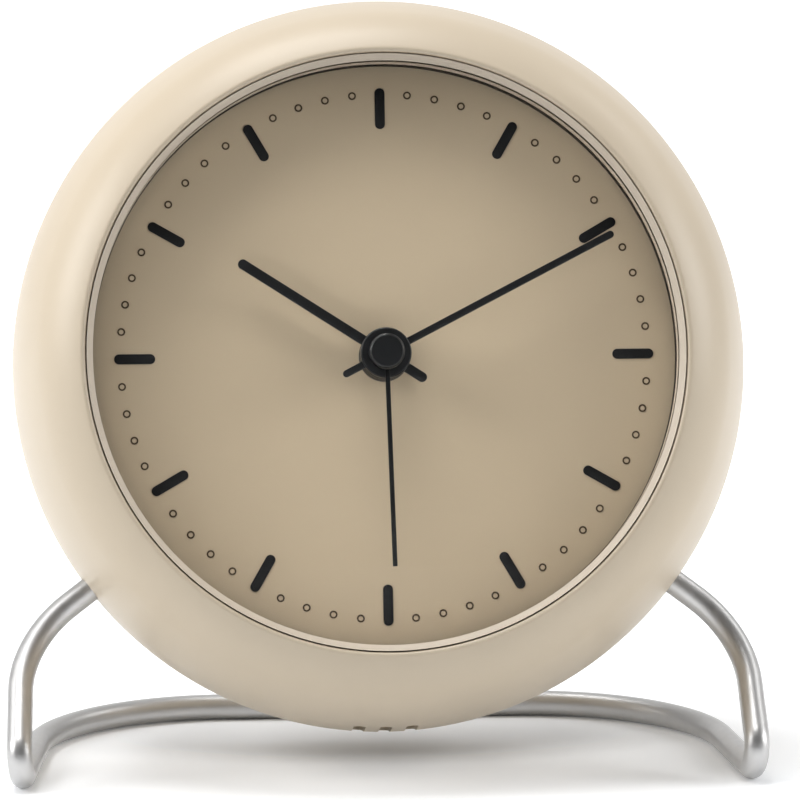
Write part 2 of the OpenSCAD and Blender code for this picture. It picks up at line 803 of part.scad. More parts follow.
module stator() color("SlateGray") placed() {
    eye_r = magnet_r + stator_gap;
    translate([0, 0, motor_z - stator_t / 2]) linear_extrude(stator_t) difference() {
        union() {
            translate(rotor_at) circle(eye_r + stator_w);
            for (side = [-1, 1]) {
                p = [rotor_at[0] + side * leg_knee()[0], coil_y + leg_knee()[1]];
                v = p - rotor_at;
                translate(rotor_at) rotate(atan2(v[1], v[0])) translate([0, -stator_w / 2])
                    square([norm(v), stator_w]);
                translate(p - [core_w / 2, leg_knee()[1] + stator_w])
                    square([core_w, leg_knee()[1] + 3 * stator_w / 2]);
            }
        }
        translate(rotor_at) circle(eye_r);
    }
    translate([rotor_at[0], coil_y, motor_z])
        cube([2 * leg_knee()[0], core_w, stator_t], center = true);
}

module coil() color("Peru") placed() translate([rotor_at[0], coil_y, motor_z]) rotate([0, quarter_turn, 0])
    difference() {
        union() {
            cylinder(r = coil_r, h = coil_l, center = true);
            for (side = [-1, 1]) translate([0, 0, side * (coil_l + coil_flange_t) / 2])
                cylinder(r = coil_flange_r, h = coil_flange_t, center = true);
        }
        cube([stator_t + 2 * fit, core_w + 2 * fit, coil_l + 4 * coil_flange_t], center = true);
    }

module circuit_board() color("SeaGreen") placed() translate([0, board_y, board_z + board_t / 2])
    cube([board_w, board_h, board_t], center = true);

module quartz_can() color("Silver") placed()
    translate([-quartz_l / 2, board_y, board_z + board_t + quartz_r]) rotate([0, quarter_turn, 0])
        cylinder(r = quartz_r, h = quartz_l);

module movement_front() color("Gainsboro") placed() difference() {
    union() {
        translate([0, 0, plate_in_z]) linear_extrude(plate_t)
            rounded(movement_side / 2, movement_side / 2, corner_r);
        disc(nozzle_out, plate_in_z, dial_z + nut_h + fit);
        translate(motion_at) disc(arbor_r, motion_layer - fit, plate_in_z + plate_t / 2);
    }
    disc(nozzle_in, plate_in_z - overrun, dial_z + nut_h + overrun);
    for (p = [third_at, intermediate_at, rotor_at])
        translate(p) disc(arbor_r + running, plate_in_z - overrun, movement_z + overrun);
}

module movement_case() color("Gainsboro") placed() difference() {
    union() {
        difference() {
            translate([0, 0, movement_back_z]) linear_extrude(plate_in_z - movement_back_z)
                rounded(movement_side / 2, movement_side / 2, corner_r);
            translate([0, 0, floor_z]) linear_extrude(movement_depth)
                rounded(movement_side / 2 - plate_t, movement_side / 2 - plate_t, corner_r - plate_t / 2);
        }
        for (side = [-1, 1]) translate([side * board_post_x, board_y, floor_z - plate_t / 2])
            cylinder(r = board_post_r, h = board_z - floor_z + plate_t / 2);
    }
    for (p = [third_at, intermediate_at, rotor_at])
        translate(p) disc(arbor_r + running, movement_back_z - overrun, floor_z + overrun);
    disc(second_arbor_r + running, movement_back_z - overrun, floor_z + overrun);
    for (p = [time_at, alarm_at])
        translate(p) disc(stem_r + running, movement_back_z - overrun, floor_z + overrun);
}

module sounder() color("DimGray") placed() translate([0, sounder_y, 0]) difference() {
    disc(sounder_r, movement_z - sounder_t, movement_z);
    disc(sound_hole_r, movement_z - sounder_t - overrun, movement_z - sounder_t / 2);
}

module battery_tray() color("Gainsboro") placed() translate([0, -battery_drop, 0]) difference() {
    translate([0, 0, cover_in_z]) linear_extrude(movement_back_z - cover_in_z)
        rounded(tray_in + tray_wall, tray_half_w, corner_r);
    translate([0, 0, cover_in_z - overrun])
        linear_extrude(battery_z + battery_r + fit - cover_in_z + overrun)
            square([2 * tray_in, 2 * (battery_r + loose)], center = true);
}

module battery() color("DarkSlateGray") placed()
    translate([-battery_l / 2, -battery_drop, battery_z]) rotate([0, quarter_turn, 0]) {
        cylinder(r = battery_r, h = battery_l);
        translate([0, 0, battery_l]) cylinder(r = pole_r, h = pole_h);
    }

module contact(side) {
    translate([side * (tray_in - contact_t / 2 - fit), -battery_drop, battery_z])
        cube([contact_t, 2 * contact_half, 2 * contact_half], center = true);
}

module positive_contact() color("Silver") placed() contact(1);

module negative_contact() color("Silver") placed() {
    spring_l = tray_in - battery_l / 2 - contact_t - 2 * fit;
    contact(-1);
    translate([-tray_in + contact_t + fit - fit / 2, -battery_drop, battery_z]) rotate([0, quarter_turn, 0])
        cylinder(r1 = contact_half, r2 = spring_r, h = spring_l);
}

module battery_door() color("BurlyWood") placed() translate([0, -battery_drop, 0]) difference() {
    translate([0, 0, cover_z]) linear_extrude(cover_floor) rounded(door_half_l, door_half_w, corner_r);
    for (i = [-1 : 1]) translate([0, i * door_grip_pitch, cover_z - overrun])
        linear_extrude(door_grip_t + overrun) stadium(door_grip_l, door_grip_w);
}

module stem(at, teeth, mod, layer, phase) {
    placed() translate(at) {
        gear(teeth, mod, layer, layer + gear_t, phase, 0);
        disc(stem_r, cover_z - knob_h / 2, layer + gear_t);
    }
}

module time_stem() color("Silver") stem(time_at, time_pinion, time_mod, motion_layer, time_phase);

module alarm_stem() color("Silver") stem(alarm_at, alarm_pinion, alarm_mod, alarm_layer, alarm_phase);

module knob(at) {
    top = cover_z - loose;
    placed() translate(at) difference() {
        disc(knob_r, top - knob_h, top);
        disc(stem_r + fit / 2, cover_z - knob_h / 2 - fit, top + overrun);
        for (i = [0 : knob_flutes - 1]) rotate(i * full_turn / knob_flutes)
            translate([knob_r + flute_out, 0, 0]) disc(flute_r, top - knob_h - overrun, top - flute_stop);
    }
}

module time_knob() color("Black") knob(time_at);

module alarm_knob() color("Black") knob(alarm_at);

module alarm_switch() color("Black") placed() translate([-switch_travel / 2, switch_y, 0]) difference() {
    union() {
        translate([0, 0, cover_z - switch_gap - switch_pad_t]) linear_extrude(switch_pad_t)
            square(switch_pad, center = true);
        translate([0, 0, cover_z - switch_gap - fit]) linear_extrude(cover_floor + 2 * switch_gap + 2 * fit)
            square(switch_stem, center = true);
        translate([0, 0, cover_in_z + switch_gap]) linear_extrude(switch_flange_t)
            square(switch_flange, center = true);
    }
    for (i = [-1 : 1]) translate([i * switch_rib_pitch, 0, cover_z - switch_gap - switch_pad_t])
        cube([switch_rib, far, switch_rib], center = true);
}

module cover_screws() color("Silver") placed()
    for (p = post_places) translate([p[0], p[1], 0]) difference() {
        union() {
            disc(screw_head_r, cover_z + back_recess / 4, cover_z + screw_head_t);
            disc(screw_r, cover_z + screw_head_t - fit, cover_in_z + screw_l - screw_head_t);
        }
        translate([0, 0, cover_z]) for (a = [0, quarter_turn]) rotate(a)
            cube([screw_head_r, screw_slot_w, screw_head_t], center = true);
    }

module frame_screws() color("Silver") placed()
    for (p = frame_screw_places) translate([p[0], p[1], 0]) {
        disc(frame_head_r, movement_z - frame_head_t, movement_z);
        disc(frame_screw_r, movement_z - fit, plate_z + frame_boss_l - frame_head_t);
    }

case_shell();
back_cover();
crystal();
dial();
hour_batons();
minute_rings();
inner_frame();
alarm_hand();
hour_hand();
minute_hand();
second_hand();
hub_cap();
dial_nut();
stand_wire();
movement_front();
movement_case();
alarm_wheel();
hour_wheel();
motion_wheel();
cannon_pinion();
minute_wheel();
third_wheel();
second_wheel();
intermediate_wheel();
rotor();
stator();
coil();
circuit_board();
quartz_can();
sounder();
battery_tray();
battery();
positive_contact();
negative_contact();
battery_door();
time_stem();
time_knob();
alarm_stem();
alarm_knob();
alarm_switch();
cover_screws();
frame_screws();
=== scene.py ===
# Round alarm clock under a domed crystal, leaning back in a bent wire stand.
import math
import bpy
from mathutils import Matrix, Vector


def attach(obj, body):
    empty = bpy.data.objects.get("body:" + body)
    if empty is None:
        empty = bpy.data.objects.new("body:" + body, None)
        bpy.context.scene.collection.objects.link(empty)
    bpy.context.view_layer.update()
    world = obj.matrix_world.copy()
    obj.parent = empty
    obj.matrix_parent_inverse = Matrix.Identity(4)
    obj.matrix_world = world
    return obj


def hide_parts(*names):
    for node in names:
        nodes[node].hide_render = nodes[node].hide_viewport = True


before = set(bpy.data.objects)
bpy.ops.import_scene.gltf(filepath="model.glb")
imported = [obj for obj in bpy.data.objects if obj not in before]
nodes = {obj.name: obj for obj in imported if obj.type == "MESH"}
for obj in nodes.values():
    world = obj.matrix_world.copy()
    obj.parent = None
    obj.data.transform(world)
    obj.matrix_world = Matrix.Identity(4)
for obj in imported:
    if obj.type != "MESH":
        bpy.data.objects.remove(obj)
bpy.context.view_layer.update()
print("frame loaded:", len(nodes), "nodes")

mm = 0.001

# The dial's own frame: x right, y up the dial, z out of it
pose = {"lean": 16.5, "height": 58.9}
dialFrame = (
    Matrix.Translation((0, 0, pose["height"] * mm))
    @ Matrix.Rotation(math.radians(90 - pose["lean"]), 4, "X")
    @ Matrix.Scale(mm, 4)
)
worldFrame = Matrix.Scale(mm, 4)

# Points round each turned piece and cutter, and the distance in mm under which two points become one
rounds = {"case": 256, "knob": 192, "dial": 192, "cap": 128, "hub": 96, "screw": 64, "socket": 64, "pin": 48,
          "ring": 24}
weld = 0.002


def onArc(centre, radius, degrees):
    angle = math.radians(degrees)
    return (centre[0] + radius * math.cos(angle), centre[1] + radius * math.sin(angle))


def arcPoints(centre, radius, start, end, count):
    return [onArc(centre, radius, start + (end - start) * i / count) for i in range(count + 1)]


def clearSelection():
    if bpy.context.object and bpy.context.object.mode != "OBJECT":
        bpy.ops.object.mode_set(mode="OBJECT")
    bpy.ops.object.select_all(action="DESELECT")


def pick(*pieces):
    clearSelection()
    for piece in pieces:
        piece.select_set(True)
    bpy.context.view_layer.objects.active = pieces[0]


# A ring is drawn at the first point and pulled from point to point
def turned(name, profile, steps):
    least = 0.0004  # a pole is a ring this small until it is welded
    clearSelection()
    firstR, firstZ = profile[0]
    bpy.ops.mesh.primitive_circle_add(vertices=steps, radius=max(firstR, least), location=(0, 0, firstZ))
    piece = bpy.context.object
    piece.name = name
    bpy.ops.object.transform_apply(location=True, rotation=True, scale=True)
    bpy.ops.object.mode_set(mode="EDIT")
    bpy.ops.mesh.select_all(action="SELECT")
    for (r0, z0), (r1, z1) in zip(profile, profile[1:]):
        grow = max(r1, least) / max(r0, least)
        bpy.ops.mesh.extrude_region_move(TRANSFORM_OT_translate={"value": (0, 0, z1 - z0)})
        bpy.ops.transform.resize(value=(grow, grow, 1), center_override=(0, 0, 0))
    bpy.ops.mesh.select_all(action="SELECT")
    bpy.ops.mesh.remove_doubles(threshold=weld)
    bpy.ops.mesh.normals_make_consistent(inside=False)
    bpy.ops.object.mode_set(mode="OBJECT")
    return piece


# A ring-shaped piece, whose profile comes back to its first point
def turnedRing(name, profile, steps):
    return turned(name, profile + profile[:1], steps)


def addModifier(piece, kind, **settings):
    pick(piece)
    modifier = piece.modifiers.new(kind.title(), kind)
    for key, value in settings.items():
        setattr(modifier, key, value)
    bpy.ops.object.modifier_apply(modifier=modifier.name)


def softened(piece, width, segments=3, angle=60):
    addModifier(piece, "BEVEL", width=width, segments=segments, limit_method="ANGLE",
                angle_limit=math.radians(angle), harden_normals=False)


def placed(piece, matrix, turn=0.0):
    if turn:
        piece.data.transform(Matrix.Rotation(math.radians(-turn), 4, "Z"))
    piece.data.transform(matrix)
    piece.matrix_world = Matrix.Identity(4)


def smooth(piece, angle=32):
    pick(piece)
    bpy.ops.object.shade_smooth_by_angle(angle=math.radians(angle))


def finished(piece, body, slot, material, *replaced):
    piece.data.materials.clear()
    piece.data.materials.append(material)
    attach(piece, body)
    if replaced:
        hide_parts(*replaced)
    clearSelection()


def joined(pieces, name):
    pick(*pieces)
    bpy.ops.object.join()
    pieces[0].name = name
    return pieces[0]


def copied(piece, name, move):
    twin = bpy.data.objects.new(name, piece.data.copy())
    bpy.context.scene.collection.objects.link(twin)
    twin.data.transform(move)
    return twin


# Copies with their own mesh, turned clockwise about the dial's axis and joined
def roundTheDial(piece, degrees, name):
    ring = [copied(piece, name, Matrix.Rotation(math.radians(-angle), 4, "Z")) for angle in degrees]
    bpy.data.objects.remove(piece)
    return joined(ring, name)


# A flat face pulled up into a closed solid
def raised(piece, height):
    bpy.ops.object.mode_set(mode="EDIT")
    bpy.ops.mesh.select_all(action="SELECT")
    bpy.ops.mesh.extrude_region_move(TRANSFORM_OT_translate={"value": (0, 0, height)})
    bpy.ops.mesh.select_all(action="SELECT")
    bpy.ops.mesh.normals_make_consistent(inside=False)
    bpy.ops.object.mode_set(mode="OBJECT")
    return piece


# A circle's points are numbered round from the top, so each half is a run of them
def halfOfRing(upper, steps):
    quarter = steps // 4
    top = {i % steps for i in range(-quarter, quarter + 1)}
    return top if upper else set(range(steps)) - top


# Round-ended bar along y, its two half circles pulled apart and then raised
def bar(name, low, high, start, end, width, steps=34):
    clearSelection()
    bpy.ops.mesh.primitive_circle_add(vertices=steps, radius=width / 2, fill_type="NGON",
                                      location=(0, 0, low))
    piece = bpy.context.object
    piece.name = name
    bpy.ops.object.transform_apply(location=True, rotation=True, scale=True)
    for shift, upper in ((end - width / 2, True), (start + width / 2, False)):
        bpy.ops.object.mode_set(mode="EDIT")
        bpy.ops.mesh.select_all(action="DESELECT")
        bpy.ops.object.mode_set(mode="OBJECT")
        for index in halfOfRing(upper, steps):
            piece.data.vertices[index].select = True
        bpy.ops.object.mode_set(mode="EDIT")
        bpy.ops.transform.translate(value=(0, shift, 0))
        bpy.ops.object.mode_set(mode="OBJECT")
    return raised(piece, high - low)


# Rectangle with its corners rounded off, raised from one height to another
def slab(name, halfSize, low, high, corner=0.0, at=(0, 0), cornerSteps=8):
    clearSelection()
    bpy.ops.mesh.primitive_plane_add(size=2, location=(0, 0, 0))
    piece = bpy.context.object
    piece.name = name
    piece.data.transform(Matrix.Translation((*at, low)) @ Matrix.Diagonal((*halfSize, 1, 1)))
    if corner:
        bpy.ops.object.mode_set(mode="EDIT")
        bpy.ops.mesh.select_all(action="SELECT")
        bpy.ops.mesh.bevel(offset=corner, segments=cornerSteps, affect="VERTICES")
        bpy.ops.object.mode_set(mode="OBJECT")
    return raised(piece, high - low)


# Upright cylinder that cuts a hole or a flute
def pin(radius, low, high, at):
    clearSelection()
    bpy.ops.mesh.primitive_cylinder_add(vertices=rounds["pin"], radius=radius, depth=high - low,
                                        location=(*at, (low + high) / 2))
    return bpy.context.object


def cut(piece, *cutters):
    for cutter in cutters:
        addModifier(piece, "BOOLEAN", operation="DIFFERENCE", solver="EXACT", object=cutter)
        bpy.data.objects.remove(cutter)


def newMaterial(name):
    material = bpy.data.materials.new(name)
    material.use_nodes = True
    return material, material.node_tree.nodes, material.node_tree.links


def linear(red, green, blue):
    def one(value):
        value /= 255
        return value / 12.92 if value <= 0.04045 else ((value + 0.055) / 1.055) ** 2.4
    return (one(red), one(green), one(blue), 1.0)


surface = {"fineDetail": 3, "broadDetail": 2, "broader": 30, "bumpDepth": 0.00005}


# Moulded or lacquered surface: fine skin, faint cloudiness and uneven gloss
def skinned(name, colour, roughness, grain, bump, cloud=0.03, spread=0.06, **sockets):
    material, made, links = newMaterial(name)
    shader = made["Principled BSDF"]
    place = made.new("ShaderNodeTexCoord")
    fine = made.new("ShaderNodeTexNoise")
    fine.inputs["Scale"].default_value = grain
    fine.inputs["Detail"].default_value = surface["fineDetail"]
    broad = made.new("ShaderNodeTexNoise")
    broad.inputs["Scale"].default_value = grain / surface["broader"]
    broad.inputs["Detail"].default_value = surface["broadDetail"]
    tone = made.new("ShaderNodeMix")
    tone.data_type = "RGBA"
    tone.inputs[6].default_value = [c * (1 - cloud) for c in colour[:3]] + [1]
    tone.inputs[7].default_value = [min(1, c * (1 + cloud)) for c in colour[:3]] + [1]
    gloss = made.new("ShaderNodeMapRange")
    gloss.inputs["To Min"].default_value = roughness - spread
    gloss.inputs["To Max"].default_value = roughness + spread
    skin = made.new("ShaderNodeBump")
    skin.inputs["Strength"].default_value = bump
    skin.inputs["Distance"].default_value = surface["bumpDepth"]
    for noise in (fine, broad):
        links.new(place.outputs["Object"], noise.inputs["Vector"])
    links.new(broad.outputs["Fac"], tone.inputs[0])
    links.new(tone.outputs[2], shader.inputs["Base Color"])
    links.new(fine.outputs["Fac"], gloss.inputs["Value"])
    links.new(gloss.outputs["Result"], shader.inputs["Roughness"])
    links.new(fine.outputs["Fac"], skin.inputs["Height"])
    links.new(skin.outputs["Normal"], shader.inputs["Normal"])
    for key, value in sockets.items():
        shader.inputs[key.replace("_", " ")].default_value = value
    return material


# Metal, with fine lines where its grain is stretched more in one direction than in another
def brushed(name, colour, roughness, stretch, bump=0.1, spread=0.1, grain=900, cloud=0.06):
    material = skinned(name, colour, roughness, grain, bump, cloud, spread, Metallic=1.0)
    made, links = material.node_tree.nodes, material.node_tree.links
    place = next(n for n in made if n.type == "TEX_COORD")
    along = made.new("ShaderNodeMapping")
    along.inputs["Scale"].default_value = stretch
    for noise in [n for n in made if n.type == "TEX_NOISE"]:
        links.new(along.outputs["Vector"], noise.inputs["Vector"])
    links.new(place.outputs["Object"], along.inputs["Vector"])
    return material


# Shadow rays pass straight through, so that the lamps light the dial
def clearCrystal(name, tint, ior):
    material, made, links = newMaterial(name)
    shader = made["Principled BSDF"]
    shader.inputs["Base Color"].default_value = tint
    shader.inputs["Roughness"].default_value = 0.0
    shader.inputs["IOR"].default_value = ior
    shader.inputs["Transmission Weight"].default_value = 1.0
    path = made.new("ShaderNodeLightPath")
    through = made.new("ShaderNodeBsdfTransparent")
    either = made.new("ShaderNodeMixShader")
    links.new(path.outputs["Is Shadow Ray"], either.inputs[0])
    links.new(shader.outputs[0], either.inputs[1])
    links.new(through.outputs[0], either.inputs[2])
    links.new(either.outputs[0], made["Material Output"].inputs["Surface"])
    return material


sand = linear(203, 188, 165)
finishes = {
    "case": skinned("sandLacquer", sand, 0.5, 2600, 0.12, Specular_IOR_Level=0.35, Coat_Weight=0.5,
                    Coat_Roughness=0.35),
    "dial": skinned("dialLacquer", linear(191, 173, 146), 0.5, 3200, 0.1),
    "marks": skinned("printedBlack", linear(15, 15, 17), 0.55, 4000, 0.1, 0.1, Specular_IOR_Level=0.25),
    "print": skinned("printedBrown", linear(74, 60, 46), 0.6, 4000, 0.05, 0.1, Specular_IOR_Level=0.25),
    "hands": skinned("blackLacquer", linear(15, 16, 18), 0.36, 3500, 0.1, 0.1, Specular_IOR_Level=0.4),
    "crystal": clearCrystal("clearCrystal", (0.985, 0.99, 0.985, 1), 1.12),
    # Pale ground rim of the crystal, partly a painted reflection of the bright band the glass shows by
    # internal reflection
    "groundAndReflection": skinned("groundEdgeAndReflection", linear(202, 189, 171), 0.55, 3000, 0.2, Specular_IOR_Level=0.5),
    # Painted reflection: the black of the strip that stands in for the crystal's dark internal reflection
    "paintedReflection": skinned("paintedReflectionBlack", linear(22, 15, 10), 0.6, 3000, 0.1, 0.1, Specular_IOR_Level=0.2),
    "wire": brushed("satinSteel", (0.57, 0.565, 0.56, 1), 0.42, (1, 1, 1)),
    "black": skinned("mouldedBlack", linear(26, 26, 27), 0.45, 1800, 0.2, 0.1),
    "steel": brushed("turnedSteel", (0.62, 0.61, 0.59, 1), 0.3, (1, 6, 1)),
    "pale": skinned("mouldedWhite", linear(222, 220, 212), 0.5, 1800, 0.15),
    "grey": skinned("mouldedGrey", linear(200, 200, 197), 0.5, 1800, 0.15),
    "ivory": skinned("ivoryGears", linear(228, 220, 196), 0.4, 2200, 0.1),
    "brass": brushed("turnedBrass", (0.72, 0.50, 0.20, 1), 0.28, (1, 5, 1)),
    "copper": brushed("woundCopper", (0.72, 0.33, 0.16, 1), 0.35, (40, 1, 1), 0.6),
    "board": skinned("solderMask", linear(24, 92, 48), 0.35, 1500, 0.1, 0.12),
    "sleeve": skinned("cellSleeve", linear(42, 46, 56), 0.3, 1200, 0.05, 0.08),
    "dark": skinned("sinteredDark", linear(62, 62, 66), 0.55, 1500, 0.2, 0.1),
}
# The wheels, which this list leaves out, are ivory
finishOf = {
    "case_shell": "case", "back_cover": "case", "battery_door": "case", "crystal": "crystal", "dial": "dial",
    "hour_batons": "marks", "minute_rings": "marks", "alarm_hand": "hands", "hour_hand": "hands",
    "minute_hand": "hands", "second_hand": "hands", "hub_cap": "hands", "dial_nut": "hands",
    "stand_wire": "wire", "inner_frame": "pale", "movement_front": "grey", "movement_case": "grey",
    "battery_tray": "grey", "cannon_pinion": "brass", "rotor": "dark", "sounder": "dark", "stator": "steel",
    "coil": "copper", "circuit_board": "board", "quartz_can": "steel", "positive_contact": "steel",
    "negative_contact": "steel", "battery": "sleeve", "time_stem": "steel", "alarm_stem": "steel",
    "cover_screws": "steel", "frame_screws": "steel", "time_knob": "black", "alarm_knob": "black",
    "alarm_switch": "black",
}
for nodeName, node in nodes.items():
    node.data.materials.clear()
    node.data.materials.append(finishes[finishOf.get(nodeName, "ivory")])
print("finishes set")

# Case shell: flank, shoulder and lip, then the well that holds the crystal
case = {
    "flank": (13, 0), "flankR": 42, "shoulderR": 13, "lipR": 0.6, "wall": 2.2, "flankTurn": 22.2,
    "shoulderTurn": 63.4, "parting": -10, "dialDepth": 7.4, "dialT": 0.6, "landT": 1.6, "well": 1.5,
}
shoulder = onArc(case["flank"], case["flankR"] - case["shoulderR"], case["flankTurn"])
lip = onArc(shoulder, case["shoulderR"] - case["lipR"], case["shoulderTurn"])
opening = lip[0] - case["lipR"]
dialTop = lip[1] - case["dialDepth"]
dialUnder = dialTop - case["dialT"]
glass = {"fit": 0.15, "wall": 1.4, "skirtWall": 1.05, "land": 0.08, "bank": 1.0, "skirt": 6.6, "rise": 5.8,
         "footW": 0.6, "footH": 0.8, "domeSteps": 24, "slack": 0.01}
glassR, footR = opening - glass["fit"], opening + glass["footW"]
footTop = dialTop + glass["footH"]
partingTurn = math.degrees(math.asin(case["parting"] / case["flankR"]))
insideR = case["flankR"] - case["wall"]
insideTurn = math.degrees(math.asin(case["parting"] / insideR))
shoulderInR = case["shoulderR"] - case["wall"]
wellOut = opening + case["well"]
wellTurn = math.degrees(math.acos((wellOut - shoulder[0]) / shoulderInR))
shellProfile = (
    arcPoints(case["flank"], case["flankR"], partingTurn, case["flankTurn"], 28)
    + arcPoints(shoulder, case["shoulderR"], case["flankTurn"], case["shoulderTurn"], 20)[1:]
    + arcPoints(lip, case["lipR"], case["shoulderTurn"], 180, 16)[1:]
    + [(opening, footTop + glass["fit"]), (footR, footTop + glass["fit"]),
       (footR, dialUnder - case["landT"]), (wellOut, dialUnder - case["landT"])]
    + arcPoints(shoulder, shoulderInR, wellTurn, case["flankTurn"], 8)
    + arcPoints(case["flank"], insideR, case["flankTurn"], insideTurn, 12)[1:]
)
shell = turnedRing("shell", shellProfile, rounds["case"])
wire = {"r": 1.9, "fit": 0.05, "entry": 37, "inside": 45.5, "corner": 68, "bend": 17, "foot": (55.4, -31.4),
        "footBend": 3, "rear": (48.5, 22.3), "rearBend": 30, "socket": 24, "sides": 40, "push": 6,
        "spinStep": 3, "leastSteps": 10, "seam": 0.01}
caseR = case["flank"][0] + case["flankR"]
slits = {"width": 1.85, "length": 12, "pitch": 3.97, "middle": -1.1, "depth": 8.8, "count": 3}
cutters = []
for entry in (-wire["entry"], 180 + wire["entry"]):
    clearSelection()
    bpy.ops.mesh.primitive_cylinder_add(vertices=rounds["socket"], radius=wire["r"] + wire["fit"],
                                        depth=wire["socket"])
    hole = bpy.context.object
    hole.data.transform(Matrix.Rotation(math.radians(entry), 4, "Z") @ Matrix.Translation((caseR, 0, 0))
                        @ Matrix.Rotation(math.radians(90), 4, "Y"))
    cutters.append(hole)
for number in range(slits["count"]):
    step = math.degrees(slits["pitch"] / caseR) * (number - (slits["count"] - 1) / 2)
    slit = bar("slot", -slits["depth"] / 2, slits["depth"] / 2, -slits["length"] / 2, slits["length"] / 2,
               slits["width"])
    slit.data.transform(Matrix.Rotation(math.radians(step), 4, "Z")
                        @ Matrix.Translation((0, -caseR, slits["middle"]))
                        @ Matrix.Rotation(math.radians(90), 4, "X"))
    cutters.append(slit)
cut(shell, *cutters)
placed(shell, dialFrame)
smooth(shell)
finished(shell, "clock", "case", finishes["case"], "case_shell")
print("shell made:", len(shell.data.polygons), "faces")

# Crystal: a dome with a banked, ground rim, on a straight skirt with a small foot; the rim's pale finish is
# partly a painted reflection, standing in for the bright band that the glass shows by internal reflection
domeR = (glassR ** 2 + glass["rise"] ** 2) / (2 * glass["rise"])
domeC = dialTop + glass["skirt"] + glass["rise"] - domeR
skirtR = glassR - glass["skirtWall"]


def domePoints(radius, edgeR):
    radii = [edgeR * i / glass["domeSteps"] for i in range(glass["domeSteps"] + 1)]
    return [(r, domeC + math.sqrt(radius ** 2 - r ** 2)) for r in radii]


outerDome = domePoints(domeR, skirtR + glass["land"])
crystalProfile = (
    domePoints(domeR - glass["wall"], skirtR)
    + [(skirtR, dialTop), (footR, dialTop), (footR, footTop), (glassR, footTop),
       (glassR, outerDome[-1][1] + glass["bank"])]
    + outerDome[::-1]
)
crystal = turned("crystalDome", crystalProfile, rounds["case"])
edgeFaces = [face.index for face in crystal.data.polygons
             if min(math.hypot(*crystal.data.vertices[i].co[:2]) for i in face.vertices)
             > skirtR - glass["slack"]]
placed(crystal, dialFrame)
smooth(crystal, 40)
finished(crystal, "clock", "crystal", finishes["crystal"], "crystal")
# Rim and skirt faces take the ground finish, which is partly a painted reflection
crystal.data.materials.append(finishes["groundAndReflection"])
for index in edgeFaces:
    crystal.data.polygons[index].material_index = 1

# Dark strip just inside the skirt: a painted reflection, standing in for the dark line that the crystal's
# skirt shows by internal reflection
strip = {"reach": 0.08, "gap": 0.02, "high": 2.4}
stripIn, stripOut = skirtR - strip["reach"], skirtR - strip["gap"]
stripTop = dialTop + strip["high"]
stripProfile = [(stripIn, dialTop), (stripOut, dialTop), (stripOut, stripTop), (stripIn, stripTop)]
paintedReflection = turnedRing("paintedReflectionStrip", stripProfile, rounds["case"])
placed(paintedReflection, dialFrame)
smooth(paintedReflection)
finished(paintedReflection, "clock", "crystal", finishes["paintedReflection"])

# Dial with its softened edge, printed rings and applied batons
dialSpec = {"out": footR - glass["fit"], "in": 3.6, "edge": 0.1}
dialProfile = [
    (dialSpec["in"], dialUnder), (dialSpec["out"], dialUnder),
    (dialSpec["out"], dialTop - dialSpec["edge"]), (dialSpec["out"] - dialSpec["edge"], dialTop),
    (dialSpec["in"] + dialSpec["edge"], dialTop), (dialSpec["in"], dialTop - dialSpec["edge"]),
]
dial = turnedRing("dialPlate", dialProfile, rounds["dial"])
placed(dial, dialFrame)
smooth(dial)
finished(dial, "clock", "dial", finishes["dial"], "dial")

marks = {"middle": opening - 7.6, "length": 6.15, "width": 1.5, "height": 0.12, "ringAt": opening - 5.45,
         "ringR": 0.6, "line": 0.25, "ringHeight": 0.06, "slope": 0.02, "edge": 0.04, "clear": 0.85}
baton = bar("baton", dialTop, dialTop + marks["height"], marks["middle"] - marks["length"] / 2,
            marks["middle"] + marks["length"] / 2, marks["width"])
softened(baton, marks["edge"], 2)
batons = roundTheDial(baton, [30 * hour for hour in range(12)], "hourBatons")
placed(batons, dialFrame)
smooth(batons)
finished(batons, "clock", "marks", finishes["marks"], "hour_batons")
ringTop = dialTop + marks["ringHeight"]
ringProfile = [(marks["ringR"] - marks["line"], dialTop), (marks["ringR"], dialTop),
               (marks["ringR"] - marks["slope"], ringTop),
               (marks["ringR"] - marks["line"] + marks["slope"], ringTop)]
oneRing = turnedRing("minuteRing", ringProfile, rounds["ring"])
oneRing.data.transform(Matrix.Translation((0, marks["ringAt"], 0)))
rings = roundTheDial(oneRing, [6 * minute for minute in range(60) if minute % 5], "minuteRings")
placed(rings, dialFrame)
smooth(rings)
finished(rings, "clock", "marks", finishes["print"], "minute_rings")
print("dial, marks and crystal made")

# Hands: flat lacquered bars with softened edges on turned hubs
handSpecs = {
    "alarm": {"angle": 303, "reach": 22, "tail": 0.45, "width": 0.9, "low": 2, "hub": 0.9, "bore": 3.2,
              "node": "alarm_hand"},
    "hours": {"angle": 303, "reach": 25.8, "tail": 7.2, "width": 1.5, "low": 3.4, "hub": 0.9, "bore": 1.6,
              "node": "hour_hand"},
    "minutes": {"angle": 62.8, "reach": marks["ringAt"] - marks["clear"], "tail": 7.2, "width": 1.1, "low": 5,
                "hub": 1.1, "bore": 1.1, "node": "minute_hand"},
}
handT, hubR, edge = 0.5, 3.8, 0.09
for bodyName, spec in handSpecs.items():
    low = dialTop + spec["low"]
    blade = bar(bodyName + "Blade", low, low + handT, -spec["tail"], spec["reach"], spec["width"])
    softened(blade, edge, 2)
    top = low + spec["hub"]
    hubProfile = [(spec["bore"], low), (hubR, low), (hubR, top - 2 * edge), (hubR - 2 * edge, top),
                  (spec["bore"], top)]
    hub = turnedRing(bodyName + "Hub", hubProfile, rounds["hub"])
    softened(hub, edge / 2, 2, 30)
    hand = joined([blade, hub], bodyName + "Hand")
    placed(hand, dialFrame, spec["angle"])
    smooth(hand)
    finished(hand, bodyName, "hands", finishes["hands"], spec["node"])

